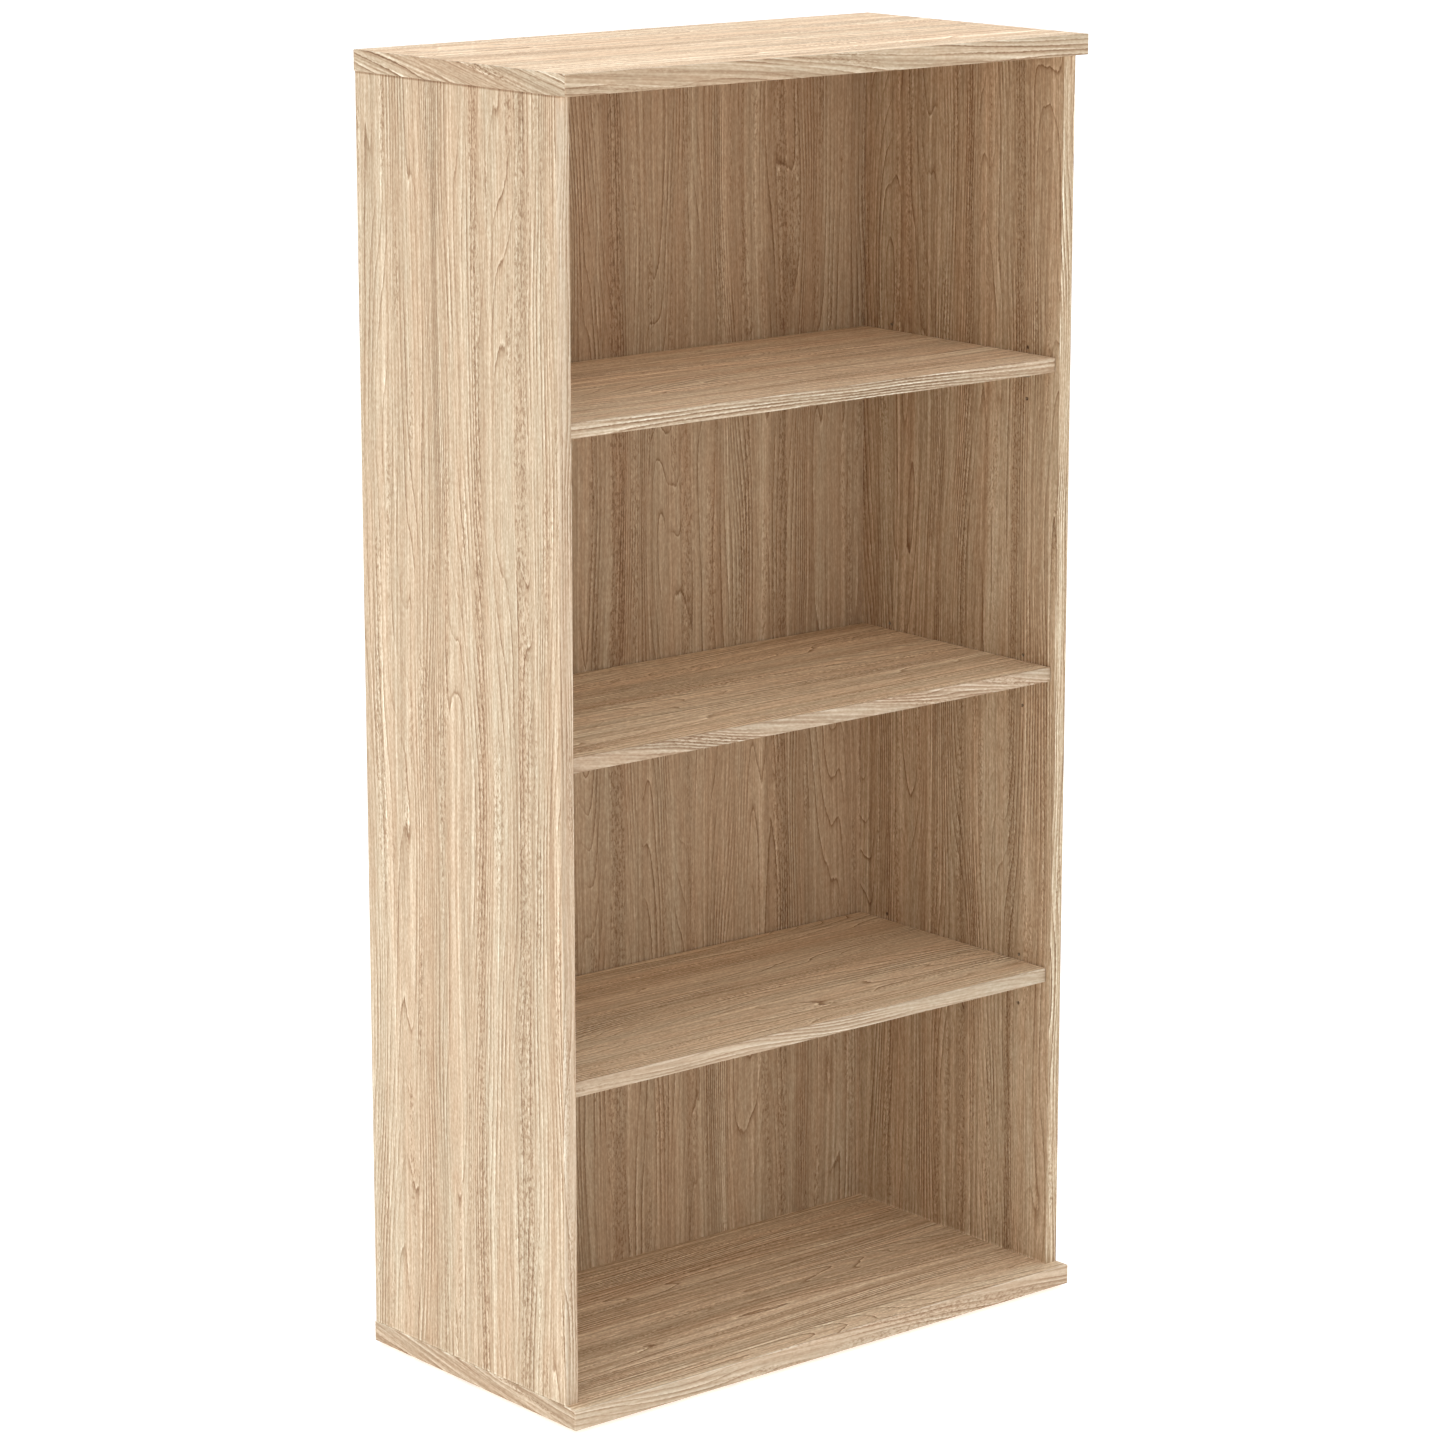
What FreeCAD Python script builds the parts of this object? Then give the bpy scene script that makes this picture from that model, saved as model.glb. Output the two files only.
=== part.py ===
import FreeCAD, Part
import os

# Bookcase with adjustable shelves, in millimetres.
# Frame: origin on the floor under the middle of the case, +Z up, front towards -Y, +X to the
# right of a person facing the front.

Vector = FreeCAD.Vector
X_AXIS = Vector(1, 0, 0)
Z_AXIS = Vector(0, 0, 1)

# Driving dimensions
WIDTH = 800.0
DEPTH = 400.0
HEIGHT = 1592.0
CAP_BOARD = 25.0            # top and base boards
CASE_BOARD = 18.0           # sides, back and shelves
FOOT_STAND = 5.0            # floor to underside of the base, feet screwed right in
CAP_OVERHANG = 2.0          # top and base past the outer faces of the sides
FRONT_SETBACK = 20.0        # sides behind the front of the top and base
BACK_INSET = 1.0            # back board in from the rear edges of the sides
SHELF_SETBACK = 8.0         # shelves behind the front of the sides
SHELF_REAR_GAP = 3.0
SHELF_END_GAP = 1.0
SHELF_TOPS = {"lower": 421.0, "middle": 809.0, "upper": 1197.0}

# Edge banding
CAP_BAND = 2.0
CAP_BAND_ROUND = 1.0
CASE_BAND = 1.0
CASE_BAND_ROUND = 0.5

# Shelf supports and the holes they plug into
PIN_RADIUS = 2.45
PIN_HOLE_RADIUS = 2.5
PIN_LENGTH = 10.0
PIN_HOLE_DEPTH = 12.0
PIN_DROP = 7.0              # pin axis below the shelf's underside
PIN_CHAMFER = 0.6
HOLE_PITCH = 32.0
SUPPORT_WIDTH = 12.0
SUPPORT_REACH = 13.0
SUPPORT_DROP = 12.0
LEDGE_THICK = 2.0
PLATE_THICK = 1.5
WEB_THICK = 2.0
WEB_END_GAP = 2.0
SUPPORT_ROUND = 4.0
SUPPORT_INSET = 50.0        # from the shelf's front and rear edges

# Dowels, cam locks and cam bolts
DOWEL_RADIUS = 4.0
DOWEL_LENGTH = 35.0
DOWEL_SHORT_END = 12.0      # the part of a dowel in a board's face
BORE_CLEARANCE = 0.05
BORE_DEPTH_CLEARANCE = 1.0
CAM_SETBACK = 34.0          # cam centre from the joint
CAM_RADIUS = 7.4
CAM_BORE_RADIUS = 7.5
CAM_BORE_DEPTH = 13.5
CAM_CAP_THICK = 1.5
CAM_CAP_RADIUS = 7.45
CAM_SLOT_WIDTH = 1.6
CAM_SLOT_LENGTH = 9.0
CAM_SLOT_DEPTH = 2.5
CAM_POCKET_RADIUS = 3.7
CAM_POCKET_DEPTH = 4.5      # past the cam's centre
BOLT_SHANK_RADIUS = 3.0
BOLT_NECK_RADIUS = 2.0
BOLT_NECK_LENGTH = 4.0
BOLT_HEAD_RADIUS = 3.4
BOLT_HEAD_LENGTH = 3.0
BOLT_THREAD_RADIUS = 2.5
BOLT_THREAD_LENGTH = 11.0
BOLT_BORE_RADIUS = 4.05
CAM_OFFSET_Y = 130.0        # fore and aft of the side's middle
DOWEL_OFFSET_Y = 98.0
BACK_DOWELS_PER_SIDE = 4
BACK_DOWEL_END_MARGIN = 120.0
BACK_DOWEL_OFFSET_X = 250.0

# Levelling feet and their threaded inserts
FOOT_INSET = 50.0
PAD_RADIUS = 15.0
PAD_DISC_THICK = 3.5
PAD_COLLAR_RADIUS = 9.0
PAD_ROUND = 0.8
STUD_RADIUS = 3.95
STUD_LENGTH = 23.0
STUD_EMBED = 3.0
INSERT_BORE_RADIUS = 4.0
INSERT_RADIUS = 5.5
INSERT_LENGTH = 16.0
INSERT_FLANGE_RADIUS = 8.0
INSERT_FLANGE_THICK = 1.2
STUD_END_ROOM = 1.5

# Worked-out places
SIDE_OUTER_X = WIDTH / 2 - CAP_OVERHANG
SIDE_INNER_X = SIDE_OUTER_X - CASE_BOARD
SIDE_MIDDLE_X = SIDE_OUTER_X - CASE_BOARD / 2
SIDE_FRONT_Y = -DEPTH / 2 + FRONT_SETBACK
SIDE_REAR_Y = DEPTH / 2
SIDE_MIDDLE_Y = (SIDE_FRONT_Y + SIDE_REAR_Y) / 2
BACK_REAR_Y = SIDE_REAR_Y - BACK_INSET
BACK_FRONT_Y = BACK_REAR_Y - CASE_BOARD
BACK_MIDDLE_Y = BACK_REAR_Y - CASE_BOARD / 2
BASE_BOTTOM_Z = FOOT_STAND
BASE_TOP_Z = BASE_BOTTOM_Z + CAP_BOARD
TOP_BOTTOM_Z = HEIGHT - CAP_BOARD
SHELF_END_X = SIDE_INNER_X - SHELF_END_GAP
SHELF_FRONT_Y = SIDE_FRONT_Y + SHELF_SETBACK
SHELF_REAR_Y = BACK_FRONT_Y - SHELF_REAR_GAP
SUPPORT_ROWS = {"front": SHELF_FRONT_Y + SUPPORT_INSET, "rear": SHELF_REAR_Y - SUPPORT_INSET}
SIDES = {"left": -1, "right": 1}


def block(low, high):
    """A box between two corners."""
    size = Vector(*high) - Vector(*low)
    return Part.makeBox(size.x, size.y, size.z, Vector(*low))


def rod(start, direction, radius, length):
    """A cylinder from a point along a direction."""
    return Part.makeCylinder(radius, length, Vector(*start), direction)


def join(pieces):
    """One solid from touching or overlapping pieces."""
    return pieces[0].multiFuse(pieces[1:]).removeSplitter()


def export(name, pieces):
    """Write one node: a single solid, or a group of separate solids."""
    shape = pieces[0] if len(pieces) == 1 else Part.makeCompound(pieces)
    shape.exportStep("parts/" + name + ".step")


# Places where the case is bored

def case_joints():
    """Every corner joint between a side and the top or base: x, joint height, direction into the side."""
    for sign in SIDES.values():
        yield sign * SIDE_MIDDLE_X, TOP_BOTTOM_Z, -1
        yield sign * SIDE_MIDDLE_X, BASE_TOP_Z, 1


def joint_rows(offset):
    return [SIDE_MIDDLE_Y - offset, SIDE_MIDDLE_Y + offset]


def upright_dowels():
    """Dowels that stand across the joints to the top and base: x, y, joint height, direction."""
    places = [(x, y, z, turn) for x, z, turn in case_joints() for y in joint_rows(DOWEL_OFFSET_Y)]
    return places


def back_upright_dowels():
    places = []
    for x in (-BACK_DOWEL_OFFSET_X, BACK_DOWEL_OFFSET_X):
        places.append((x, BACK_MIDDLE_Y, TOP_BOTTOM_Z, -1))
        places.append((x, BACK_MIDDLE_Y, BASE_TOP_Z, 1))
    return places


def back_side_dowels():
    """Dowels that lie across the joints between the back and the sides: side sign, height."""
    low = BASE_TOP_Z + BACK_DOWEL_END_MARGIN
    high = TOP_BOTTOM_Z - BACK_DOWEL_END_MARGIN
    step = (high - low) / (BACK_DOWELS_PER_SIDE - 1)
    return [(sign, low + step * i) for sign in SIDES.values() for i in range(BACK_DOWELS_PER_SIDE)]


def cam_places():
    return [(x, y, z, turn) for x, z, turn in case_joints() for y in joint_rows(CAM_OFFSET_Y)]


def foot_places():
    x = WIDTH / 2 - FOOT_INSET
    y = DEPTH / 2 - FOOT_INSET
    return {"front_left": (-x, -y), "front_right": (x, -y), "rear_left": (-x, y), "rear_right": (x, y)}


# Dowels and their bores

def upright_dowel(x, y, z, turn, grow=0.0):
    """A dowel across a level joint. grow makes the bore that takes it."""
    radius = DOWEL_RADIUS + (BORE_CLEARANCE if grow else 0.0)
    start = z - turn * (DOWEL_SHORT_END + grow)
    return rod((x, y, start), Z_AXIS * turn, radius, DOWEL_LENGTH + 2 * grow)


def side_dowel(sign, z, grow=0.0):
    """A dowel from the side's inner face into the back's edge."""
    radius = DOWEL_RADIUS + (BORE_CLEARANCE if grow else 0.0)
    start = sign * (SIDE_INNER_X + DOWEL_SHORT_END + grow)
    return rod((start, BACK_MIDDLE_Y, z), X_AXIS * -sign, radius, DOWEL_LENGTH + 2 * grow)


def upright_bores(places):
    return [upright_dowel(*place, grow=BORE_DEPTH_CLEARANCE) for place in places]


# Cam fittings: the cam sits in the side's inner face, the bolt stands in the top or base

def cam_bore(x, y, z, turn):
    sign = 1 if x > 0 else -1
    centre_z = z + turn * CAM_SETBACK
    return rod((sign * SIDE_INNER_X, y, centre_z), X_AXIS * sign, CAM_BORE_RADIUS, CAM_BORE_DEPTH)


def bolt_bore(x, y, z, turn):
    return rod((x, y, z), Z_AXIS * turn, BOLT_BORE_RADIUS, CAM_SETBACK)


def bolt_thread_bore(x, y, z, turn):
    radius = BOLT_THREAD_RADIUS + BORE_CLEARANCE
    return rod((x, y, z), Z_AXIS * -turn, radius, BOLT_THREAD_LENGTH + BORE_DEPTH_CLEARANCE)


def cam_lock(x, y, z, turn):
    sign = 1 if x > 0 else -1
    centre_z = z + turn * CAM_SETBACK
    face_x = sign * (SIDE_INNER_X + CAM_CAP_THICK)
    barrel = rod((face_x, y, centre_z), X_AXIS * sign, CAM_RADIUS, CAM_BORE_DEPTH - CAM_CAP_THICK)
    pocket_start = centre_z + turn * CAM_POCKET_DEPTH
    pocket_length = CAM_POCKET_DEPTH + CAM_RADIUS + 1.0
    pocket = rod((x, y, pocket_start), Z_AXIS * -turn, CAM_POCKET_RADIUS, pocket_length)
    slots = []
    for half_y, half_z in ((CAM_SLOT_LENGTH, CAM_SLOT_WIDTH), (CAM_SLOT_WIDTH, CAM_SLOT_LENGTH)):
        near = min(face_x, face_x + sign * CAM_SLOT_DEPTH)
        low = (near, y - half_y / 2, centre_z - half_z / 2)
        high = (near + CAM_SLOT_DEPTH, y + half_y / 2, centre_z + half_z / 2)
        slots.append(block(low, high))
    return barrel.cut([pocket] + slots)


def cam_cap(x, y, z, turn):
    sign = 1 if x > 0 else -1
    centre_z = z + turn * CAM_SETBACK
    return rod((sign * SIDE_INNER_X, y, centre_z), X_AXIS * sign, CAM_CAP_RADIUS, CAM_CAP_THICK)


def cam_bolt(x, y, z, turn):
    """Threaded end in the board's face, shank in the side's edge, neck and head inside the cam."""
    into_side = Z_AXIS * turn
    head_end = CAM_SETBACK + BOLT_HEAD_LENGTH / 2
    neck_end = head_end - BOLT_HEAD_LENGTH
    shank_end = neck_end - BOLT_NECK_LENGTH
    thread = rod((x, y, z), -into_side, BOLT_THREAD_RADIUS, BOLT_THREAD_LENGTH)
    shank = rod((x, y, z), into_side, BOLT_SHANK_RADIUS, shank_end)
    neck = rod((x, y, z + turn * shank_end), into_side, BOLT_NECK_RADIUS, BOLT_NECK_LENGTH)
    head = rod((x, y, z + turn * neck_end), into_side, BOLT_HEAD_RADIUS, BOLT_HEAD_LENGTH)
    return join([thread, shank, neck, head])


# Boards

def cap_outline(bottom_z):
    """The full size of the top or base board, band included, with its edges rounded."""
    low = (-WIDTH / 2, -DEPTH / 2, bottom_z)
    high = (WIDTH / 2, DEPTH / 2, bottom_z + CAP_BOARD)
    outline = block(low, high)
    return outline.makeFillet(CAP_BAND_ROUND, outline.Edges)


def cap_core(bottom_z):
    half_x = WIDTH / 2 - CAP_BAND
    half_y = DEPTH / 2 - CAP_BAND
    return block((-half_x, -half_y, bottom_z), (half_x, half_y, bottom_z + CAP_BOARD))


def cap_bands(bottom_z):
    """Front, rear, left and right strips around the top or base board."""
    ring = cap_outline(bottom_z).cut(cap_core(bottom_z))
    half_x = WIDTH / 2
    half_y = DEPTH / 2
    top_z = bottom_z + CAP_BOARD
    inner_y = half_y - CAP_BAND
    front = block((-half_x, -half_y, bottom_z), (half_x, -inner_y, top_z))
    rear = block((-half_x, inner_y, bottom_z), (half_x, half_y, top_z))
    left = block((-half_x, -inner_y, bottom_z), (-half_x + CAP_BAND, inner_y, top_z))
    right = block((half_x - CAP_BAND, -inner_y, bottom_z), (half_x, inner_y, top_z))
    return [ring.common(strip) for strip in (front, rear, left, right)]


def top_panel():
    bores = upright_bores(upright_dowels() + back_upright_dowels())
    bores += [bolt_thread_bore(*place) for place in cam_places()]
    return cap_core(TOP_BOTTOM_Z).cut(bores)


def insert_bore(x, y):
    flange_depth = INSERT_FLANGE_THICK + BORE_CLEARANCE
    flange = rod((x, y, BASE_BOTTOM_Z), Z_AXIS, INSERT_FLANGE_RADIUS + BORE_CLEARANCE, flange_depth)
    barrel_length = INSERT_LENGTH + BORE_CLEARANCE
    barrel = rod((x, y, BASE_BOTTOM_Z), Z_AXIS, INSERT_RADIUS + BORE_CLEARANCE, barrel_length)
    stud_room = STUD_LENGTH - STUD_EMBED + STUD_END_ROOM
    stud_hole = rod((x, y, BASE_BOTTOM_Z), Z_AXIS, INSERT_BORE_RADIUS, stud_room)
    return join([flange, barrel, stud_hole])


def base_panel():
    bores = upright_bores(upright_dowels() + back_upright_dowels())
    bores += [bolt_thread_bore(*place) for place in cam_places()]
    bores += [insert_bore(x, y) for x, y in foot_places().values()]
    return cap_core(BASE_BOTTOM_Z).cut(bores)


def pin_hole_heights(shelf_top):
    """The hole in use and the spare ones a pitch below and above it."""
    in_use = shelf_top - CASE_BOARD - PIN_DROP
    return [in_use + HOLE_PITCH * step for step in (-1, 0, 1)]


def pin_holes(sign):
    heights = [z for shelf_top in SHELF_TOPS.values() for z in pin_hole_heights(shelf_top)]
    start_x = sign * SIDE_INNER_X
    outward = X_AXIS * sign
    rows = SUPPORT_ROWS.values()
    return [rod((start_x, y, z), outward, PIN_HOLE_RADIUS, PIN_HOLE_DEPTH) for y in rows for z in heights]


def side_span(sign, front_y, rear_y):
    """A full-height slice of a side between two depths."""
    xs = sorted((sign * SIDE_INNER_X, sign * SIDE_OUTER_X))
    return block((xs[0], front_y, BASE_TOP_Z), (xs[1], rear_y, TOP_BOTTOM_Z))


def side_panel(sign):
    board = side_span(sign, SIDE_FRONT_Y + CASE_BAND, SIDE_REAR_Y - CASE_BAND)
    bores = upright_bores(upright_dowels())
    bores += [side_dowel(*place, grow=BORE_DEPTH_CLEARANCE) for place in back_side_dowels()]
    bores += [cam_bore(*place) for place in cam_places()]
    bores += [bolt_bore(*place) for place in cam_places()]
    bores += pin_holes(sign)
    return board.cut(bores)


def rounded_strip(strip, outer_y, direction):
    """Round the two long edges of a strip on its outer face."""
    edges = []
    for edge in strip.Edges:
        on_face = all(abs(vertex.Point.y - outer_y) < 1e-6 for vertex in edge.Vertexes)
        along = abs(edge.tangentAt(edge.FirstParameter).dot(direction)) > 0.99
        if on_face and along:
            edges.append(edge)
    return strip.makeFillet(CASE_BAND_ROUND, edges)


def side_bands(sign):
    front = side_span(sign, SIDE_FRONT_Y, SIDE_FRONT_Y + CASE_BAND)
    rear = side_span(sign, SIDE_REAR_Y - CASE_BAND, SIDE_REAR_Y)
    return [rounded_strip(front, SIDE_FRONT_Y, Z_AXIS), rounded_strip(rear, SIDE_REAR_Y, Z_AXIS)]


def back_panel():
    low = (-SIDE_INNER_X, BACK_FRONT_Y, BASE_TOP_Z)
    high = (SIDE_INNER_X, BACK_REAR_Y, TOP_BOTTOM_Z)
    bores = upright_bores(back_upright_dowels())
    bores += [side_dowel(*place, grow=BORE_DEPTH_CLEARANCE) for place in back_side_dowels()]
    return block(low, high).cut(bores)


def shelf_board(shelf_top):
    low = (-SHELF_END_X, SHELF_FRONT_Y + CASE_BAND, shelf_top - CASE_BOARD)
    return block(low, (SHELF_END_X, SHELF_REAR_Y, shelf_top))


def shelf_band(shelf_top):
    low = (-SHELF_END_X, SHELF_FRONT_Y, shelf_top - CASE_BOARD)
    strip = block(low, (SHELF_END_X, SHELF_FRONT_Y + CASE_BAND, shelf_top))
    return rounded_strip(strip, SHELF_FRONT_Y, X_AXIS)


# Shelf supports

def support_ledge(wall_x, y, top_z):
    low = (wall_x - SUPPORT_REACH, y - SUPPORT_WIDTH / 2, top_z - LEDGE_THICK)
    ledge = block(low, (wall_x, y + SUPPORT_WIDTH / 2, top_z))
    tip_edges = []
    for edge in ledge.Edges:
        if all(abs(vertex.Point.x - low[0]) < 1e-6 for vertex in edge.Vertexes) and edge.Length < 3:
            tip_edges.append(edge)
    return ledge.makeFillet(SUPPORT_ROUND, tip_edges)


def support_plate(wall_x, y, top_z):
    low = (wall_x - PLATE_THICK, y - SUPPORT_WIDTH / 2, top_z - SUPPORT_DROP)
    plate = block(low, (wall_x, y + SUPPORT_WIDTH / 2, top_z))
    foot_edges = []
    for edge in plate.Edges:
        if all(abs(vertex.Point.z - low[2]) < 1e-6 for vertex in edge.Vertexes) and edge.Length < 3:
            foot_edges.append(edge)
    return plate.makeFillet(SUPPORT_ROUND, foot_edges)


def support_web(wall_x, y, top_z):
    """The stiffening web under the ledge."""
    near = wall_x - PLATE_THICK / 2
    tip = wall_x - SUPPORT_REACH + WEB_END_GAP
    under = top_z - LEDGE_THICK / 2
    foot = top_z - SUPPORT_DROP + WEB_END_GAP
    side_y = y - WEB_THICK / 2
    corners = [Vector(near, side_y, under), Vector(tip, side_y, under), Vector(near, side_y, foot)]
    face = Part.Face(Part.makePolygon(corners + corners[:1]))
    return face.extrude(Vector(0, WEB_THICK, 0))


def support_pin(wall_x, y, top_z):
    start = (wall_x - PLATE_THICK / 2, y, top_z - PIN_DROP)
    pin = rod(start, X_AXIS, PIN_RADIUS, PIN_LENGTH + PLATE_THICK / 2)
    tip_x = wall_x + PIN_LENGTH
    tip_edges = [edge for edge in pin.Edges if abs(edge.BoundBox.XMin - tip_x) < 1e-6]
    return pin.makeChamfer(PIN_CHAMFER, tip_edges)


def shelf_support(sign, y, top_z):
    """Built against the right-hand side and turned round for the left."""
    makers = (support_plate, support_ledge, support_web, support_pin)
    support = join([make(SIDE_INNER_X, y, top_z) for make in makers])
    if sign < 0:
        support.rotate(Vector(0, y, 0), Z_AXIS, 180)
    return support


# Levelling feet

def foot_pad(x, y):
    disc = rod((x, y, 0), Z_AXIS, PAD_RADIUS, PAD_DISC_THICK)
    rims = [edge for edge in disc.Edges if edge.Closed]
    disc = disc.makeFillet(PAD_ROUND, rims)
    collar = rod((x, y, PAD_DISC_THICK), Z_AXIS, PAD_COLLAR_RADIUS, FOOT_STAND - PAD_DISC_THICK)
    socket = rod((x, y, FOOT_STAND - STUD_EMBED), Z_AXIS, INSERT_BORE_RADIUS, STUD_EMBED)
    return join([disc, collar]).cut(socket)


def foot_stud(x, y):
    return rod((x, y, FOOT_STAND - STUD_EMBED), Z_AXIS, STUD_RADIUS, STUD_LENGTH)


def foot_insert(x, y):
    flange = rod((x, y, BASE_BOTTOM_Z), Z_AXIS, INSERT_FLANGE_RADIUS, INSERT_FLANGE_THICK)
    barrel = rod((x, y, BASE_BOTTOM_Z), Z_AXIS, INSERT_RADIUS, INSERT_LENGTH)
    bore = rod((x, y, BASE_BOTTOM_Z), Z_AXIS, INSERT_BORE_RADIUS, INSERT_LENGTH)
    return join([flange, barrel]).cut(bore)


# The nodes

def export_case():
    export("top_panel", [top_panel()])
    export("top_edge_bands", cap_bands(TOP_BOTTOM_Z))
    export("base_panel", [base_panel()])
    export("base_edge_bands", cap_bands(BASE_BOTTOM_Z))
    export("back_panel", [back_panel()])
    for name, sign in SIDES.items():
        export(name + "_side_panel", [side_panel(sign)])
        export(name + "_side_edge_bands", side_bands(sign))


def export_case_fittings():
    back_dowels = [upright_dowel(*place) for place in back_upright_dowels()]
    back_dowels += [side_dowel(*place) for place in back_side_dowels()]
    export("side_dowels", [upright_dowel(*place) for place in upright_dowels()])
    export("back_dowels", back_dowels)
    export("cam_locks", [cam_lock(*place) for place in cam_places()])
    export("cam_bolts", [cam_bolt(*place) for place in cam_places()])
    export("cam_cover_caps", [cam_cap(*place) for place in cam_places()])


def export_shelves():
    for level, shelf_top in SHELF_TOPS.items():
        export(level + "_shelf", [shelf_board(shelf_top)])
        export(level + "_shelf_edge_band", [shelf_band(shelf_top)])
        for row, y in SUPPORT_ROWS.items():
            for side, sign in SIDES.items():
                name = "_".join((level, row, side, "shelf_support"))
                export(name, [shelf_support(sign, y, shelf_top - CASE_BOARD)])


def export_feet():
    places = foot_places()
    export("foot_inserts", [foot_insert(x, y) for x, y in places.values()])
    for corner, (x, y) in places.items():
        export(corner + "_foot_pad", [foot_pad(x, y)])
        export(corner + "_foot_stud", [foot_stud(x, y)])


os.makedirs("parts", exist_ok=True)
export_case()
export_case_fittings()
export_shelves()
export_feet()
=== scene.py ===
import math

import bmesh
import bpy
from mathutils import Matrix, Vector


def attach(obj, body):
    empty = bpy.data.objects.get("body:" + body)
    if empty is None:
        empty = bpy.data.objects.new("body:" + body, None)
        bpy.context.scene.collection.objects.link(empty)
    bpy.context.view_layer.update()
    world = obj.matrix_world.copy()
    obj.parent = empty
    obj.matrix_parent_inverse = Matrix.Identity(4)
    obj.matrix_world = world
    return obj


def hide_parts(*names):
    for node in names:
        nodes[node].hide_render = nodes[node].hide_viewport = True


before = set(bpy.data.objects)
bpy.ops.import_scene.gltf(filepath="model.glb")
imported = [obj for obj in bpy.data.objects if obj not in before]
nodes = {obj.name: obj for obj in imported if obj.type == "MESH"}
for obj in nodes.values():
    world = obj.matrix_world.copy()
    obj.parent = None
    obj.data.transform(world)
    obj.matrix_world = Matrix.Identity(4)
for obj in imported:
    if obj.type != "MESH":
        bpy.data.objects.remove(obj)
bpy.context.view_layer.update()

# ---------------------------------------------------------------- camera

CAMERA_PLACE = (-3.6893, -4.3986, 2.1017)
CAMERA_AZIMUTH = math.radians(-39.93)
CAMERA_ELEVATION = math.radians(13.11)
LENS_MM = 120.22
SENSOR_MM = 36.0


def add_camera():
    data = bpy.data.cameras.new("camera")
    data.sensor_width = SENSOR_MM
    data.lens = LENS_MM
    data.clip_end = 200.0
    camera = bpy.data.objects.new("camera", data)
    camera.location = CAMERA_PLACE
    camera.rotation_euler = (math.pi / 2 - CAMERA_ELEVATION, 0.0, CAMERA_AZIMUTH)
    bpy.context.scene.collection.objects.link(camera)
    bpy.context.scene.camera = camera


# ---------------------------------------------------------------- stage

WHITE = (1.0, 1.0, 1.0, 1.0)
FLOOR_COLOR = (0.88, 0.88, 0.88, 1.0)
FLOOR_GLOW = 0.50           # lifts the floor to plain white, far away and right under the case
FLOOR_HALF_SIZE = 60.0      # m
SKY = 0.88                  # brightness of the even light from all round

# name, place, the point it faces, width and height in metres, power in watts
STUDIO_LIGHTS = [
    ("overhead", (-0.3, -0.8, 4.5), (0.0, -0.2, 1.0), (3.5, 3.0), 24.0),
    ("left", (-4.5, 0.6, 1.4), (0.0, 0.2, 0.7), (2.5, 2.8), 44.0),
    ("front", (-2.2, -4.8, 2.0), (0.0, 0.0, 0.8), (4.0, 3.4), 28.0),
    ("low front", (-1.5, -4.5, 0.7), (0.0, 0.0, 0.35), (3.0, 1.2), 8.0),
]


def add_world(strength):
    world = bpy.data.worlds.new("studio")
    world.use_nodes = True
    background = world.node_tree.nodes["Background"]
    background.inputs["Color"].default_value = WHITE
    background.inputs["Strength"].default_value = strength
    bpy.context.scene.world = world


def add_area_light(name, place, target, size, power):
    data = bpy.data.lights.new(name, "AREA")
    data.shape = "RECTANGLE"
    data.size, data.size_y = size
    data.energy = power
    light = bpy.data.objects.new(name, data)
    light.location = place
    direction = Vector(target) - Vector(place)
    light.rotation_euler = direction.to_track_quat("-Z", "Y").to_euler()
    bpy.context.scene.collection.objects.link(light)


def add_floor():
    mesh = bpy.data.meshes.new("floor")
    reach = FLOOR_HALF_SIZE
    corners = [(-reach, -reach, 0), (reach, -reach, 0), (reach, reach, 0), (-reach, reach, 0)]
    mesh.from_pydata(corners, [], [(0, 1, 2, 3)])
    floor = bpy.data.objects.new("floor", mesh)
    bpy.context.scene.collection.objects.link(floor)
    material = bpy.data.materials.new("floor")
    material.use_nodes = True
    shader = material.node_tree.nodes["Principled BSDF"]
    shader.inputs["Base Color"].default_value = FLOOR_COLOR
    shader.inputs["Roughness"].default_value = 0.9
    shader.inputs["Specular IOR Level"].default_value = 0.0
    shader.inputs["Emission Color"].default_value = WHITE
    shader.inputs["Emission Strength"].default_value = FLOOR_GLOW
    mesh.materials.append(material)


# ---------------------------------------------------------------- node helpers

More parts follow.
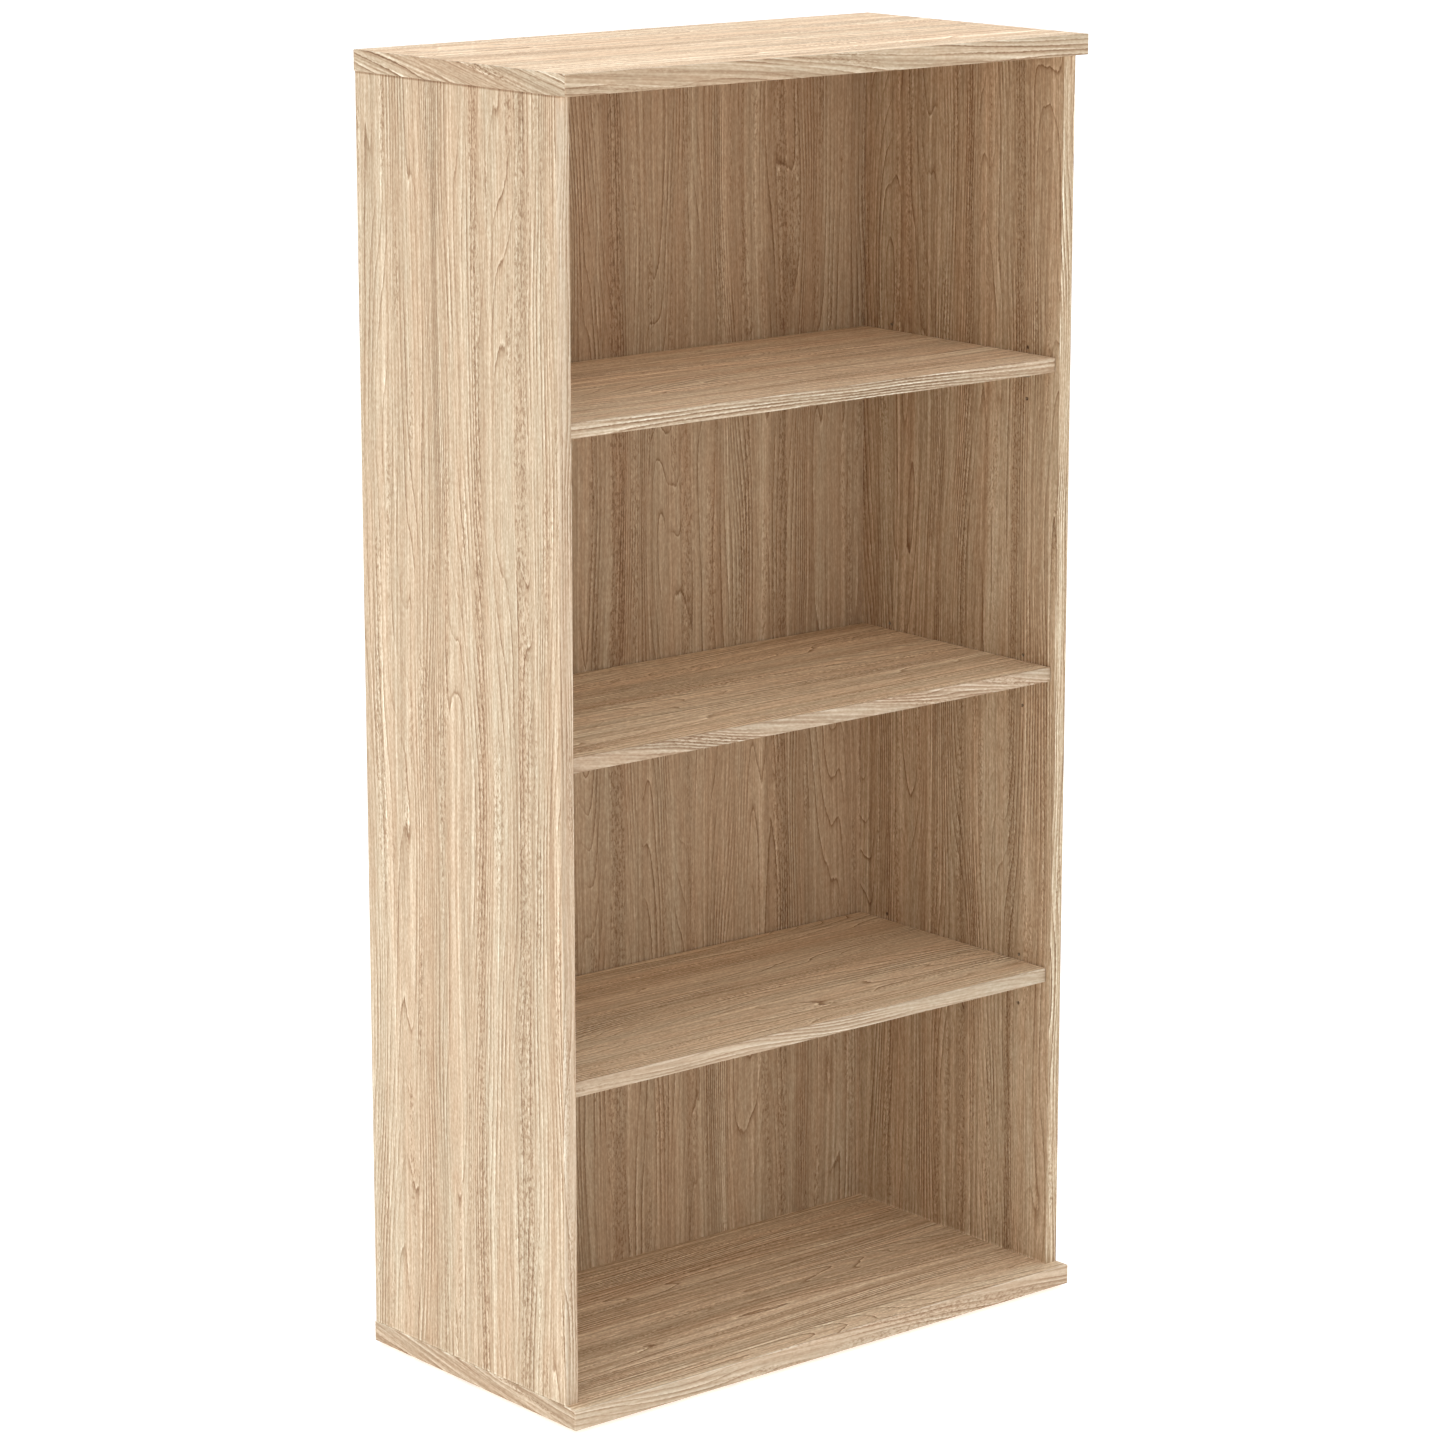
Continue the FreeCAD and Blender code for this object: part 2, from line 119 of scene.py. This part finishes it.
class Graph:
    """A short way to write a material's nodes: each method adds nodes and returns an output socket."""

    def __init__(self, name):
        self.material = bpy.data.materials.new(name)
        self.material.use_nodes = True
        self.tree = self.material.node_tree
        self.shader = self.tree.nodes["Principled BSDF"]

    def feed(self, socket, value):
        if isinstance(value, bpy.types.NodeSocket):
            self.tree.links.new(value, socket)
        else:
            socket.default_value = value

    def node(self, kind, **settings):
        node = self.tree.nodes.new(kind)
        for key, value in settings.items():
            setattr(node, key, value)
        return node

    def math(self, operation, a, b=0.0):
        node = self.node("ShaderNodeMath", operation=operation)
        self.feed(node.inputs[0], a)
        self.feed(node.inputs[1], b)
        return node.outputs[0]

    def vector_math(self, operation, a, b):
        node = self.node("ShaderNodeVectorMath", operation=operation)
        self.feed(node.inputs[0], a)
        self.feed(node.inputs[1], b)
        return node.outputs[0]

    def combine(self, x, y, z):
        node = self.node("ShaderNodeCombineXYZ")
        for socket, value in zip(node.inputs, (x, y, z)):
            self.feed(socket, value)
        return node.outputs[0]

    def place_mm(self):
        """The point on the object, in millimetres, as three sockets."""
        coordinate = self.node("ShaderNodeTexCoord").outputs["Object"]
        scaled = self.vector_math("MULTIPLY", coordinate, (1000.0, 1000.0, 1000.0))
        split = self.node("ShaderNodeSeparateXYZ")
        self.feed(split.inputs[0], scaled)
        return split.outputs[0], split.outputs[1], split.outputs[2]

    def noise(self, vector, detail, roughness):
        node = self.node("ShaderNodeTexNoise", noise_dimensions="3D")
        self.feed(node.inputs["Vector"], vector)
        node.inputs["Scale"].default_value = 1.0
        node.inputs["Detail"].default_value = detail
        node.inputs["Roughness"].default_value = roughness
        return node.outputs["Fac"]

    def step(self, value, low, high, to_low=0.0, to_high=1.0, smooth=True):
        node = self.node("ShaderNodeMapRange", interpolation_type="SMOOTHSTEP" if smooth else "LINEAR")
        self.feed(node.inputs["Value"], value)
        for key, number in (("From Min", low), ("From Max", high), ("To Min", to_low), ("To Max", to_high)):
            self.feed(node.inputs[key], number)
        return node.outputs["Result"]

    def mix(self, factor, a, b, blend="MIX"):
        node = self.node("ShaderNodeMix", data_type="RGBA", blend_type=blend)
        node.clamp_factor = True
        self.feed(node.inputs[0], factor)
        for socket, value in ((node.inputs[6], a), (node.inputs[7], b)):
            self.feed(socket, (*value, 1.0) if isinstance(value, tuple) else value)
        return node.outputs[2]

    def ramp(self, factor, stops):
        node = self.node("ShaderNodeValToRGB")
        self.feed(node.inputs[0], factor)
        elements = node.color_ramp.elements
        while len(elements) < len(stops):
            elements.new(0.5)
        for element, (position, level) in zip(elements, stops):
            element.position = position
            element.color = (level, level, level, 1.0)
        return node.outputs["Color"]

    def profile(self, place, points):
        """A tone that follows (place, tone) points, level beyond the first and last."""
        start, end = points[0][0], points[-1][0]
        low = min(tone for _, tone in points)
        high = max(tone for _, tone in points)
        stops = [((at - start) / (end - start), (tone - low) / (high - low)) for at, tone in points]
        factor = self.step(place, start, end, smooth=False)
        return self.math("ADD", self.math("MULTIPLY", self.ramp(factor, stops), high - low), low)

    def tone_color(self, tone, tint):
        """The decor's colour at a tone: each channel is its average times exp(tone * power)."""
        tone = self.math("MINIMUM", tone, PALEST_TONE)
        channels = []
        # each channel is also scaled by its part of the tint, which is partly painted light
        for average, part, power in zip(OAK, tint, TONE_POWER):
            gain = self.math("EXPONENT", self.math("MULTIPLY", tone, power))
            channels.append(self.math("MULTIPLY", gain, average * part))
        node = self.node("ShaderNodeCombineColor")
        for socket, channel in zip(node.inputs, channels):
            self.feed(socket, channel)
        return node.outputs[0]

    def bump(self, height, strength, distance):
        node = self.node("ShaderNodeBump")
        self.feed(node.inputs["Height"], height)
        node.inputs["Strength"].default_value = strength
        node.inputs["Distance"].default_value = distance
        self.feed(self.shader.inputs["Normal"], node.outputs[0])


# ---------------------------------------------------------------- wood grain

# The decor's average colour, scene-linear. A tone is the logarithm of brightness against it, and
# the channels follow a tone by these powers: dark grain is redder and light grain is creamier.
OAK = (0.635, 0.488, 0.327)
TONE_POWER = (0.76, 1.0, 1.22)
PALEST_TONE = 0.9
CAST = 0.020                # how far the colour leans to pink or to green

# The tone across one growth ring, as (distance from its dark line in mm, tone) pairs
RING_PROFILE = [(-5.0, 0.03), (-2.4, -0.02), (-1.0, -0.14), (-0.25, -0.34), (0.25, -0.34), (0.7, 0.0),
                (1.2, 0.16), (2.2, 0.07), (5.0, 0.03)]
LEAST_STEEPNESS = 0.035     # rings per mm; it keeps a line's width finite where the field is level

# Painted light and shade as fine level lines, as (height in mm, depth below it, tone). A negative depth
# puts the line above.
# painted shadow: a dark line on the sides just below the top's overhang
PAINTED_SHADOW_UNDER_TOP = (1567.0, 3.2, -0.55)
# painted light: a pale band at the sides' foot that cancels the shade in the corner above the base
PAINTED_LIGHT_AT_SIDE_FOOT = (30.0, -3.0, 0.25)
# painted highlight: a pale line along the top strips' upper rounded edge
PAINTED_HIGHLIGHT_ON_TOP_ARRIS = (1592.0, 0.9, 0.22)
# painted highlight: a pale line on the base strips' upper edge, the ledge beside the sides
PAINTED_HIGHLIGHT_ON_BASE_ARRIS = (30.0, 0.9, 0.38)
MID_HEIGHT = 798.0          # mm, about half way up the case

# Streaks, from broad bands down to fibres: width in mm, length in mm, detail, weight.
# The specks are the shortest ones, which a strip has fewer of.
STREAKS = [(48.0, 1500.0, 0.0, 0.12), (11.0, 1100.0, 1.0, 0.22), (3.2, 640.0, 1.5, 0.82)]
SPECKS = [(1.8, 26.0, 1.0, 0.46), (2.2, 5.5, 1.0, 0.50)]


class Grain:
    """Noise in a board's own coordinates, stretched along the grain. Each field has a mean near 0."""

    def __init__(self, graph, u, w, s):
        self.graph = graph
        self.u, self.w, self.s = u, w, s
        self.shift = 0.0

    def field(self, across_mm, along_mm, detail=1.0, roughness=0.5, through_mm=None):
        """A fresh noise whose features are across_mm wide and along_mm long."""
        graph = self.graph
        self.shift += 317.0
        point = graph.combine(
            graph.math("MULTIPLY", graph.math("ADD", self.u, self.shift), 1.0 / across_mm),
            graph.math("MULTIPLY", self.w, 1.0 / (through_mm or across_mm)),
            graph.math("MULTIPLY", self.s, 1.0 / along_mm),
        )
        return graph.math("SUBTRACT", graph.noise(point, detail, roughness), 0.5)


def add_scaled(graph, tone, value, weight):
    return graph.math("ADD", tone, graph.math("MULTIPLY", value, weight))


def ring_lines(graph, grain, ring_mm, figure, figure_across, figure_along):
    """The tone of the growth rings: thin dark lines of one width, each with a pale lip on one side.
    The rings are contour lines of a smooth field stretched along the grain, so they run straight
    where the field is steep and close into cathedral arches where it is level."""
    middle = grain.u

    def ring_count(u):
        grain.u, grain.shift = u, 5000.0
        count = graph.math("MULTIPLY", u, 1.0 / ring_mm)
        arches = grain.field(figure_across, figure_along, detail=1.0, roughness=0.35, through_mm=600.0)
        count = add_scaled(graph, count, arches, figure)
        return add_scaled(graph, count, grain.field(9.0, 90.0), 0.28)

    rings = ring_count(middle)
    steepness = graph.math("SUBTRACT", ring_count(graph.math("ADD", middle, 1.0)), rings)
    steepness = graph.math("MAXIMUM", graph.math("ABSOLUTE", steepness), LEAST_STEEPNESS)
    grain.u = middle
    phase = graph.math("SUBTRACT", graph.math("FRACT", rings), 0.5)
    from_line_mm = graph.math("DIVIDE", phase, steepness)
    from_line_mm = add_scaled(graph, from_line_mm, grain.field(2.0, 6.0), 2.2)
    line = graph.profile(from_line_mm, RING_PROFILE)
    strength = graph.step(grain.field(26.0, 240.0), -0.14, 0.17, 0.25, 1.55)
    return graph.math("MULTIPLY", line, strength)


def wood_color(graph, grain, tone, tint):
    """The tone's colour, leaning to pink in some places and to green in others."""
    color = graph.tone_color(tone, tint)
    for across_mm, along_mm, amount in ((30.0, 600.0, CAST), (9.0, 40.0, CAST / 2)):
        pink = (1 + amount, 1 - amount / 3, 1 - amount)
        green = (1 - amount, 1 + amount / 3, 1 + amount)
        cast = graph.step(grain.field(across_mm, along_mm), -0.14, 0.14, smooth=False)
        color = graph.mix(1.0, color, graph.mix(cast, green, pink), blend="MULTIPLY")
    return color


def wood(name, coordinates, ring_mm, figure, figure_across, figure_along, contrast=1.0, bands=(),
         speckle=1.0, run_low=0.07, tint=(1.0, 1.0, 1.0), painted_light_and_shade_lines=(), painted_light_drift=0.0, end_grain_and_painted_shade=None):
    """Flat-sawn wood. Bands are the broad ones that a board is known by, as (place across the board
    in mm, tone) pairs. A painted light drift makes an upright board paler towards its foot, by so
    much tone per metre. An end setting, for the top's and base's strips only, makes the grain on
    their ends bolder by a factor and shifts its tone, which is painted shade on those end strips."""
    graph = Graph(name)
    u, w, s = coordinates(graph)
    grain = Grain(graph, u, w, s)

    # the grain wanders sideways along its length, and everything below follows it
    sway = graph.math("MULTIPLY", grain.field(150.0, 620.0, through_mm=900.0), 30.0)
    sway = add_scaled(graph, sway, grain.field(30.0, 190.0, through_mm=900.0), 3.5)
    grain.u = graph.math("ADD", u, sway)

    tone = ring_lines(graph, grain, ring_mm, figure, figure_across, figure_along)
    specks = [(across, along, detail, weight * speckle) for across, along, detail, weight in SPECKS]
    for across_mm, along_mm, detail, weight in STREAKS + specks:
        tone = add_scaled(graph, tone, grain.field(across_mm, along_mm, detail), weight)

    # open pores come in runs and fill the dark bands; each is dark with a pale lip
    pore = grain.field(1.9, 5.0, detail=1.0)
    run = graph.step(grain.field(16.0, 300.0), run_low, run_low + 0.10)
    if bands:
        place = graph.math("ADD", coordinates.across(graph), sway)
        band = graph.profile(place, bands)
        tone = graph.math("ADD", tone, band)
        run = graph.math("MAXIMUM", run, graph.step(band, -0.05, -0.08))
    pores = graph.math("MULTIPLY", graph.step(pore, 0.02, 0.14), run)
    lips = graph.math("MULTIPLY", graph.step(pore, -0.02, -0.14), run)
    tone = graph.math("SUBTRACT", tone, graph.math("MULTIPLY", pores, 0.30))
    tone = add_scaled(graph, tone, lips, 0.10)
    tone = graph.math("MULTIPLY", tone, contrast)
    if end_grain_and_painted_shade:
        # painted shade: the shift darkens the strips on the ends of the top and base, while their grain is
        # made bolder
        bolder, shift = end_grain_and_painted_shade
        gain = graph.math("ADD", graph.math("MULTIPLY", coordinates.on_end, bolder - 1.0), 1.0)
        tone = add_scaled(graph, graph.math("MULTIPLY", tone, gain), coordinates.on_end, shift)

    height_mm = graph.place_mm()[2]
    # painted light and shade: each line lightens or darkens the tone in a thin band at its height
    for line_mm, depth_mm, amount in painted_light_and_shade_lines:
        line = graph.step(height_mm, line_mm - depth_mm, line_mm - depth_mm / 2)
        tone = add_scaled(graph, tone, line, amount)
    # painted light: the tone rises below mid height and falls above it, so the board is paler towards its
    # foot
    if painted_light_drift:
        below_mm = graph.math("SUBTRACT", MID_HEIGHT, height_mm)
        tone = add_scaled(graph, tone, below_mm, painted_light_drift / 1000.0)

    graph.feed(graph.shader.inputs["Base Color"], wood_color(graph, grain, tone, tint))
    graph.feed(graph.shader.inputs["Roughness"], graph.step(tone, -0.5, 0.4, 0.66, 0.54, smooth=False))
    graph.shader.inputs["Specular IOR Level"].default_value = 0.28
    relief = graph.math("SUBTRACT", graph.math("MULTIPLY", tone, 0.5), pores)
    graph.bump(relief, 0.25, 0.00012)
    return graph.material


class BoardSpace:
    """A board's coordinates in mm: across the grain on the face, through the face, along the grain.
    A lean makes the grain climb across the board as it runs along it."""

    def __init__(self, grain, across, seed, lean):
        self.grain, self.side, self.seed, self.lean = grain, across, seed, lean

    def across(self, graph):
        return dict(zip("xyz", graph.place_mm()))[self.side]

    def __call__(self, graph):
        place = dict(zip("xyz", graph.place_mm()))
        through = next(axis for axis in "xyz" if axis not in (self.grain, self.side))
        u = graph.math("ADD", place[self.side], 137.0 * self.seed)
        u = graph.math("ADD", u, graph.math("MULTIPLY", place[self.grain], self.lean))
        w = graph.math("ADD", place[through], 59.0 * self.seed)
        s = graph.math("ADD", place[self.grain], 911.0 * self.seed)
        return u, w, s


def board(name, grain, across, seed, lean=0.0, **look):
    settings = dict(ring_mm=9.0, figure=21.0, figure_across=72.0, figure_along=720.0)
    settings.update(look)
    return wood(name, BoardSpace(grain, across, seed, lean), **settings)


def strip(name, grain, across, seed, lean=0.0, **look):
    """The finer grain of an edge strip."""
    settings = dict(ring_mm=5.2, figure=8.0, figure_across=34.0, figure_along=300.0, contrast=1.25,
                    speckle=0.8, run_low=0.08)
    settings.update(look)
    return board(name, grain, across, seed, lean, **settings)


CAP_CORE_HALF_WIDTH = 398.0     # mm, to where the strip on an end starts
CAP_CORE_HALF_DEPTH = 198.0     # mm, to where the strip on the front or rear starts


class CapSpace:
    """Coordinates for the strips round the top or base: the grain follows each strip, with a lean of
    its own along the front and along the ends. on_end is 1 on the strips at the ends, else 0."""

    def __init__(self, seed, front_lean, end_lean):
        self.seed, self.front_lean, self.end_lean = seed, front_lean, end_lean

    def __call__(self, graph):
        x, y, z = graph.place_mm()
        beside = graph.math("GREATER_THAN", graph.math("ABSOLUTE", x), CAP_CORE_HALF_WIDTH)
        between = graph.math("LESS_THAN", graph.math("ABSOLUTE", y), CAP_CORE_HALF_DEPTH)
        on_end = graph.math("MULTIPLY", beside, between)
        self.on_end = on_end
        on_front = graph.math("SUBTRACT", 1.0, on_end)
        end_run = graph.math("MULTIPLY", on_end, y)
        front_run = graph.math("MULTIPLY", on_front, x)
        u = graph.math("ADD", z, 137.0 * self.seed)
        u = graph.math("ADD", u, graph.math("MULTIPLY", end_run, self.end_lean))
        u = graph.math("ADD", u, graph.math("MULTIPLY", front_run, self.front_lean))
        w = graph.math("ADD", graph.math("MULTIPLY", on_end, 500.0), 59.0 * self.seed)
        s = graph.math("ADD", graph.math("ADD", end_run, front_run), 911.0 * self.seed)
        return u, w, s


def cap_band(name, seed, front_lean, end_lean, **look):
    """The grain of the strips round the top or base."""
    settings = dict(ring_mm=7.0, figure=6.0, figure_across=46.0, figure_along=260.0, speckle=0.7,
                    run_low=0.09)
    settings.update(look)
    return wood(name, CapSpace(seed, front_lean, end_lean), **settings)


def set_material(node, material):
    mesh = nodes[node].data
    mesh.materials.clear()
    mesh.materials.append(material)


# The broad bands of three boards, as (place in mm, tone) pairs: y on the sides, x on the back
LEFT_SIDE_BANDS = [
    (-178, 0.0), (-166, 0.037), (-158, -0.05), (-150, 0.025), (-128, 0.05), (-120, -0.074),
    (-100, -0.087), (-94, 0.0), (-56, 0.0), (-50, 0.087), (-44, 0.087), (-38, 0.0), (-32, -0.087),
    (-20, -0.087), (-14, 0.019), (30, 0.025), (36, -0.025), (140, 0.0), (146, 0.012), (150, 0.124),
    (154, 0.136), (158, 0.074), (166, 0.062), (172, 0.012), (198, 0.0)]
RIGHT_SIDE_BANDS = [
    (-178, 0.0), (-114, 0.0), (-108, -0.1), (-98, -0.12), (-92, 0.02), (-70, 0.05), (-30, 0.04),
    (-22, 0.0), (-16, -0.08), (-6, -0.08), (0, 0.0), (178, 0.0)]
BACK_BANDS = [
    (-60, 0.0), (-42, 0.0), (-38, -0.1), (-20, -0.1), (-16, 0.0), (8, 0.0), (12, -0.083), (16, 0.0),
    (78, 0.0), (84, -0.067), (94, -0.067), (98, 0.017), (142, 0.017), (145, 0.142), (150, 0.142),
    (153, 0.033), (196, 0.042), (201, 0.142), (211, 0.142), (215, -0.042), (234, -0.067), (238, -0.183),
    (243, -0.183), (248, -0.05), (290, -0.042), (296, 0.025), (328, 0.0)]


def paint_caps(left_material, right_material):
    """The caps match the side they are pressed into."""
    mesh = nodes["cam_cover_caps"].data
    mesh.materials.clear()
    mesh.materials.append(left_material)
    mesh.materials.append(right_material)
    for polygon in mesh.polygons:
        polygon.material_index = 0 if polygon.center.x < 0 else 1


def finish_boards():
    # the sides get a painted shadow under the top, painted light at their foot and a painted light drift;
    # the back gets the same drift
    upright = dict(painted_light_and_shade_lines=[PAINTED_SHADOW_UNDER_TOP, PAINTED_LIGHT_AT_SIDE_FOOT], painted_light_drift=0.09)
    # The tints are partly the decor's own colour and partly painted light: the top and shelves are made
    # paler and the sides and back darker, lit and shaded copies of one oak
    left = dict(upright, tint=(0.80, 0.78, 0.78), bands=LEFT_SIDE_BANDS, contrast=1.52, figure=15.0)
    right = dict(upright, tint=(0.755, 0.695, 0.65), bands=RIGHT_SIDE_BANDS, contrast=1.6)
    back = dict(tint=(0.66, 0.588, 0.533), bands=BACK_BANDS, contrast=1.35, painted_light_drift=0.11)
    set_material("left_side_panel", board("oak_left_side", "z", "y", 1, **left))
    set_material("right_side_panel", board("oak_right_side", "z", "y", 2, **right))
    set_material("back_panel", board("oak_back", "z", "x", 3, **back))
    set_material("top_panel", board("oak_top", "x", "y", 4, tint=(1.33, 1.28, 1.28), contrast=2.05))
    set_material("base_panel", board("oak_base", "x", "y", 5, tint=(1.04, 1.01, 1.01), contrast=1.65))
    shelf_tint = dict(upper=(1.13, 1.14, 1.19), middle=(1.06, 1.04, 1.04), lower=(1.03, 1.01, 1.01))
    for seed, level in enumerate(("upper", "middle", "lower"), 6):
        look = dict(tint=shelf_tint[level], contrast=1.75)
        material = board("oak_" + level + "_shelf", "x", "y", seed, **look)
        set_material(level + "_shelf", material)
    paint_caps(board("oak_left_caps", "z", "y", 1, **left), board("oak_right_caps", "z", "y", 2, **right))


def finish_strips():
    # The strips' tints are partly their own colour and partly painted light, set for the light that falls
    # on each strip
    upper = dict(lean=0.015, tint=(0.79, 0.79, 0.82), figure_along=420.0, run_low=0.3, contrast=1.95)
    middle = dict(lean=0.14, tint=(0.695, 0.675, 0.69), contrast=1.4)
    lower = dict(lean=0.05, tint=(0.765, 0.775, 0.815), contrast=1.05)
    set_material("upper_shelf_edge_band", strip("oak_upper_band", "x", "z", 16, **upper))
    set_material("middle_shelf_edge_band", strip("oak_middle_band", "x", "z", 17, **middle))
    set_material("lower_shelf_edge_band", strip("oak_lower_band", "x", "z", 18, **lower))
    # the painted shadow under the top runs on across the sides' front strips
    left_band = dict(painted_light_and_shade_lines=[PAINTED_SHADOW_UNDER_TOP], tint=(0.86, 0.865, 0.91))
    right_band = dict(painted_light_and_shade_lines=[PAINTED_SHADOW_UNDER_TOP], tint=(0.82, 0.81, 0.80), contrast=2.2)
    set_material("left_side_edge_bands", strip("oak_left_side_bands", "z", "x", 11, **left_band))
    set_material("right_side_edge_bands", strip("oak_right_side_bands", "z", "x", 12, **right_band))
    # painted highlights on the top's and base's upper arrises, and painted shade on their end strips
    top_band = dict(tint=(0.71, 0.685, 0.68), contrast=1.46, painted_light_and_shade_lines=[PAINTED_HIGHLIGHT_ON_TOP_ARRIS], end_grain_and_painted_shade=(1.5, -0.03))
    base_band = dict(tint=(0.83, 0.82, 0.85), contrast=1.2, painted_light_and_shade_lines=[PAINTED_HIGHLIGHT_ON_BASE_ARRIS], end_grain_and_painted_shade=(1.5, -0.10))
    set_material("top_edge_bands", cap_band("oak_top_bands", 13, 0.077, -0.20, **top_band))
    set_material("base_edge_bands", cap_band("oak_base_bands", 14, 0.05, -0.16, **base_band))


# ---------------------------------------------------------------- fittings

SCUFF_COLOR = (0.78, 0.77, 0.75)


def stretched_noise(graph, frequencies, detail, roughness):
    """Noise with its own frequency per millimetre along x, y and z."""
    place = graph.combine(*graph.place_mm())
    return graph.noise(graph.vector_math("MULTIPLY", place, frequencies), detail, roughness)


def worn_metal(name, color, roughness, brush_mm, brush_stretch):
    """Plated metal: fine brush lines, cloudy tarnish, small scuffs that show brighter metal."""
    graph = Graph(name)
    fine, long = 1 / brush_mm, 1 / (brush_mm * brush_stretch)
    brush = stretched_noise(graph, (fine, fine, long), 2.0, 0.6)
    cloud = stretched_noise(graph, (0.16, 0.16, 0.16), 2.0, 0.5)
    scuff = stretched_noise(graph, (0.9, 0.9, 2.2), 3.0, 0.6)
    worn = graph.step(scuff, 0.60, 0.68)
    dull = tuple(channel * 0.82 for channel in color)
    base = graph.mix(graph.step(cloud, 0.35, 0.65), dull, color)
    base = graph.mix(worn, base, SCUFF_COLOR)
    graph.feed(graph.shader.inputs["Base Color"], base)
    shade = graph.math("ADD", graph.step(brush, 0.3, 0.7, roughness - 0.07, roughness + 0.07, smooth=False),
                       graph.math("MULTIPLY", worn, -0.06))
    graph.feed(graph.shader.inputs["Roughness"], shade)
    graph.shader.inputs["Metallic"].default_value = 1.0
    graph.bump(brush, 0.3, 0.00003)
    return graph.material


def moulded_plastic(name, color):
    """Black nylon: a fine spark-eroded texture, faint flow marks and pale rubbed spots."""
    graph = Graph(name)
    texture = stretched_noise(graph, (2.6, 2.6, 2.6), 2.0, 0.6)
    flow = stretched_noise(graph, (0.10, 0.10, 0.4), 2.0, 0.5)
    patches = stretched_noise(graph, (0.35, 0.35, 0.9), 3.0, 0.6)
    rubbed = graph.step(patches, 0.56, 0.70)
    lighter = tuple(channel * 1.6 for channel in color)
    palest = tuple(channel * 3.2 for channel in color)
    base = graph.mix(graph.step(flow, 0.35, 0.65), color, lighter)
    base = graph.mix(graph.math("MULTIPLY", rubbed, 0.5), base, palest)
    graph.feed(graph.shader.inputs["Base Color"], base)
    graph.feed(graph.shader.inputs["Roughness"], graph.step(texture, 0.3, 0.7, 0.42, 0.62, smooth=False))
    graph.bump(texture, 0.35, 0.00005)
    return graph.material


def turned_beech(name):
    """Dowel wood: short reddish flecks and fine grain on a pale rod."""
    graph = Graph(name)
    grain = stretched_noise(graph, (0.05, 0.9, 0.9), 2.0, 0.5)
    fleck = graph.step(stretched_noise(graph, (1.1, 1.1, 0.16), 1.0, 0.5), 0.60, 0.68)
    base = graph.mix(graph.step(grain, 0.35, 0.65), (0.62, 0.42, 0.26), (0.78, 0.58, 0.38))
    base = graph.mix(graph.math("MULTIPLY", fleck, 0.6), base, (0.42, 0.24, 0.13))
    graph.feed(graph.shader.inputs["Base Color"], base)
    graph.feed(graph.shader.inputs["Roughness"], graph.step(grain, 0.3, 0.7, 0.58, 0.72, smooth=False))
    graph.bump(grain, 0.3, 0.00008)
    return graph.material


# Levelling foot studs, in mm: where they stand, their lowest and highest points, their radii at the
# crests, at the roots and at the ends, and the pitch of an M8 thread
FOOT_X, FOOT_Y = 350.0, 150.0
STUD_FOOT, STUD_TOP = 2.0, 25.0
STUD_OUTER, STUD_ROOT, STUD_TIP = 3.95, 3.35, 2.9
THREAD_PITCH = 1.25
ROWS_PER_TURN = 8
SEGMENTS = 28


def thread_radius(z, angle):
    """A rounded thread that fades out at both ends."""
    turn = (z / THREAD_PITCH - angle / (2 * math.pi)) % 1.0
    height = min(1.0, max(0.0, 1.6 - abs(turn - 0.5) * 4.4))
    radius = STUD_ROOT + (STUD_OUTER - STUD_ROOT) * height
    to_end = min(z - STUD_FOOT, STUD_TOP - z)
    return min(radius, STUD_TIP + to_end)


def stud_ring(bm, x, y, z):
    """One ring of points round the thread, in metres."""
    ring = []
    for segment in range(SEGMENTS):
        angle = 2 * math.pi * segment / SEGMENTS
        radius = thread_radius(z, angle)
        place = (x + radius * math.cos(angle), y + radius * math.sin(angle), z)
        ring.append(bm.verts.new([part / 1000.0 for part in place]))
    return ring


def threaded_stud(corner, x, y, material):
    bm = bmesh.new()
    length = STUD_TOP - STUD_FOOT
    rows = int(length / THREAD_PITCH * ROWS_PER_TURN)
    rings = [stud_ring(bm, x, y, STUD_FOOT + length * row / rows) for row in range(rows + 1)]
    for below, above in zip(rings, rings[1:]):
        for i in range(SEGMENTS):
            j = (i + 1) % SEGMENTS
            bm.faces.new((below[i], below[j], above[j], above[i]))
    bm.faces.new(rings[0][::-1])
    bm.faces.new(rings[-1])
    mesh = bpy.data.meshes.new(corner + "_threaded_stud")
    bm.to_mesh(mesh)
    bm.free()
    for polygon in mesh.polygons:
        polygon.use_smooth = len(polygon.vertices) == 4
    mesh.materials.append(material)
    stud = bpy.data.objects.new(corner + "_threaded_stud", mesh)
    bpy.context.scene.collection.objects.link(stud)
    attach(stud, corner + "_foot")
    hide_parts(corner + "_foot_stud")


def add_threaded_studs(material):
    for row, y in (("front", -FOOT_Y), ("rear", FOOT_Y)):
        for side, x in (("left", -FOOT_X), ("right", FOOT_X)):
            threaded_stud(row + "_" + side, x, y, material)


def finish_fittings():
    zinc = worn_metal("zinc", (0.58, 0.59, 0.60), 0.44, 1.2, 1.0)
    nickel = worn_metal("nickel_steel", (0.64, 0.62, 0.58), 0.30, 0.5, 7.0)
    stud_steel = worn_metal("stud_steel", (0.60, 0.60, 0.59), 0.34, 0.5, 1.0)
    nylon = moulded_plastic("black_plastic", (0.022, 0.022, 0.023))
    set_material("cam_locks", zinc)
    set_material("cam_bolts", nickel)
    set_material("foot_inserts", nylon)
    beech = turned_beech("beech")
    set_material("side_dowels", beech)
    set_material("back_dowels", beech)
    for name in nodes:
        if name.endswith("_shelf_support"):
            set_material(name, nickel)
        elif name.endswith("_foot_stud"):
            set_material(name, stud_steel)
        elif name.endswith("_foot_pad"):
            set_material(name, nylon)
    add_threaded_studs(stud_steel)


# ---------------------------------------------------------------- build

bpy.context.scene.view_settings.view_transform = "Standard"
add_camera()
add_world(SKY)
add_floor()
for light in STUDIO_LIGHTS:
    add_area_light(*light)
finish_boards()
finish_strips()
finish_fittings()
